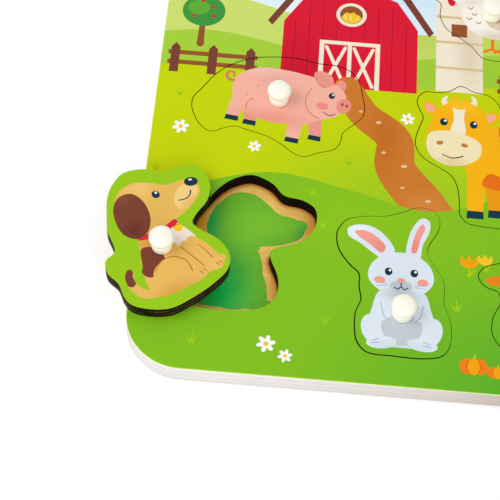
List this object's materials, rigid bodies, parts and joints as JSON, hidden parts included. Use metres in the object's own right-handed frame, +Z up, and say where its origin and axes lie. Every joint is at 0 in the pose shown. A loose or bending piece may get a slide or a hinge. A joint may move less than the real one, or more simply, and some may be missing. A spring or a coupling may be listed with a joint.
{
  "type": "wooden peg puzzle",
  "caption": "Farmyard peg puzzle: a printed two-layer plywood board with animal-shaped recesses and flush animal pieces that lift out by turned knobs.",
  "frame": {"origin": "centre of the board's flat underside", "axes": "+X along the board's long side to the picture's right, +Y up the picture, +Z up out of the printed face"},
  "size_m": [0.3127, 0.225, 0.0247],
  "materials": {
    "backing_plywood": "pale bare plywood, sanded",
    "board_print": "printed plywood, satin lacquer, pale ply edge and scorched laser-cut walls",
    "dog_print": "printed plywood, satin lacquer, scorched laser-cut edge",
    "rabbit_print": "printed plywood, satin lacquer, scorched laser-cut edge",
    "pig_print": "printed plywood, satin lacquer, scorched laser-cut edge",
    "cow_print": "printed plywood, satin lacquer, scorched laser-cut edge",
    "duck_print": "printed plywood, satin lacquer, scorched laser-cut edge",
    "sheep_print": "printed plywood, satin lacquer, scorched laser-cut edge",
    "horse_print": "printed plywood, satin lacquer, scorched laser-cut edge",
    "hen_print": "printed plywood, satin lacquer, scorched laser-cut edge",
    "knob_wood": "turned wood, smooth cream lacquer"
  },
  "bodies": {
    "board": {"backing_board": "backing_plywood", "top_panel": "board_print"},
    "dog": {"dog_piece": "dog_print", "dog_knob": "knob_wood"},
    "rabbit": {"rabbit_piece": "rabbit_print", "rabbit_knob": "knob_wood"},
    "pig": {"pig_piece": "pig_print", "pig_knob": "knob_wood"},
    "cow": {"cow_piece": "cow_print", "cow_knob": "knob_wood"},
    "duck": {"duck_piece": "duck_print", "duck_knob": "knob_wood"},
    "sheep": {"sheep_piece": "sheep_print", "sheep_knob": "knob_wood"},
    "horse": {"horse_piece": "horse_print", "horse_knob": "knob_wood"},
    "hen": {"hen_piece": "hen_print", "hen_knob": "knob_wood"}
  },
  "joints": [
    {"name": "dog_lift", "type": "slide", "parent": "board", "child": "dog", "axis": [0, 0, 1], "range_m": [0, 0.03]},
    {"name": "rabbit_lift", "type": "slide", "parent": "board", "child": "rabbit", "axis": [0, 0, 1], "range_m": [0, 0.03]},
    {"name": "pig_lift", "type": "slide", "parent": "board", "child": "pig", "axis": [0, 0, 1], "range_m": [0, 0.03]},
    {"name": "cow_lift", "type": "slide", "parent": "board", "child": "cow", "axis": [0, 0, 1], "range_m": [0, 0.03]},
    {"name": "duck_lift", "type": "slide", "parent": "board", "child": "duck", "axis": [0, 0, 1], "range_m": [0, 0.03]},
    {"name": "sheep_lift", "type": "slide", "parent": "board", "child": "sheep", "axis": [0, 0, 1], "range_m": [0, 0.03]},
    {"name": "horse_lift", "type": "slide", "parent": "board", "child": "horse", "axis": [0, 0, 1], "range_m": [0, 0.03]},
    {"name": "hen_lift", "type": "slide", "parent": "board", "child": "hen", "axis": [0, 0, 1], "range_m": [0, 0.03]}
  ]
}
